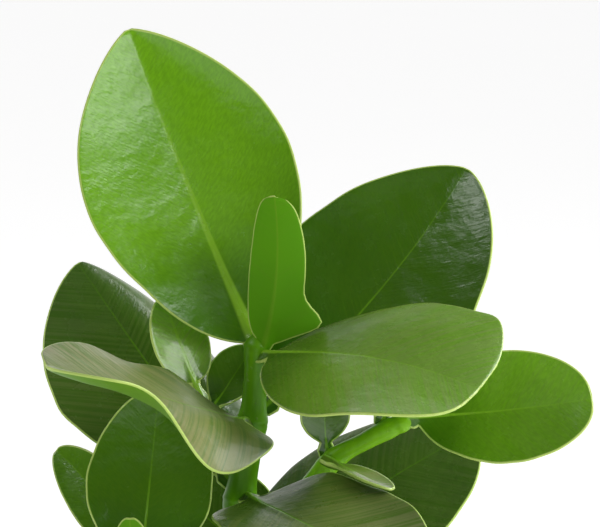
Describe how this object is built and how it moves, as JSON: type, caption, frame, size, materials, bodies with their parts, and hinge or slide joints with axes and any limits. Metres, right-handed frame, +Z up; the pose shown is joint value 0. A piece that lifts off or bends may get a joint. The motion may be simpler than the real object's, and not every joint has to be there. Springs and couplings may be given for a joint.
{
  "type": "potted clusia",
  "caption": "Bushy clusia house plant with thick, glossy, paddle-shaped leaves in opposite pairs on upright green stems, in potting soil in a plain dark nursery pot.",
  "frame": {"origin": "middle of the pot's flat base, on the surface that the pot stands on", "axes": "+Z up, +X to the right and -Y towards a person who looks at the plant's front, as the picture does"},
  "size_m": [0.2397, 0.2237, 0.4241],
  "materials": {
    "leaf": "glossy",
    "stem": "satin",
    "pot": "matte",
    "soil": "matte"
  },
  "bodies": {
    "root": {"pot": "pot", "soil": "soil", "stem_main": "stem", "stem_left": "stem", "stem_back": "stem", "leaf_top_left": "leaf", "leaf_top_right": "leaf", "leaf_young_front": "leaf", "leaf_young_back": "leaf", "leaf_second_front": "leaf", "leaf_second_back": "leaf", "leaf_third_front": "leaf", "leaf_third_back": "leaf", "leaf_fourth_front": "leaf", "leaf_fourth_back": "leaf", "leaf_fifth_front": "leaf", "leaf_fifth_back": "leaf", "leaf_sixth_left": "leaf", "leaf_sixth_right": "leaf", "leaf_seventh_front": "leaf", "leaf_seventh_back": "leaf", "leaf_branch_right": "leaf", "leaf_branch_back": "leaf", "leaf_branch_low": "leaf", "leaf_branch_up": "leaf", "leaf_shoot_left": "leaf", "leaf_shoot_right": "leaf", "leaf_left_up": "leaf", "leaf_left_side": "leaf", "leaf_left_young": "leaf", "leaf_left_front": "leaf", "leaf_left_back": "leaf", "leaf_left_low_front": "leaf", "leaf_left_low_back": "leaf", "leaf_left_low_side": "leaf", "leaf_left_bottom": "leaf", "leaf_back_left": "leaf", "leaf_back_right": "leaf", "leaf_back_young": "leaf", "leaf_back_low_right": "leaf", "leaf_back_low_back": "leaf", "leaf_back_bottom_right": "leaf", "leaf_back_bottom_left": "leaf", "leaf_back_side": "leaf"}
  },
  "joints": []
}
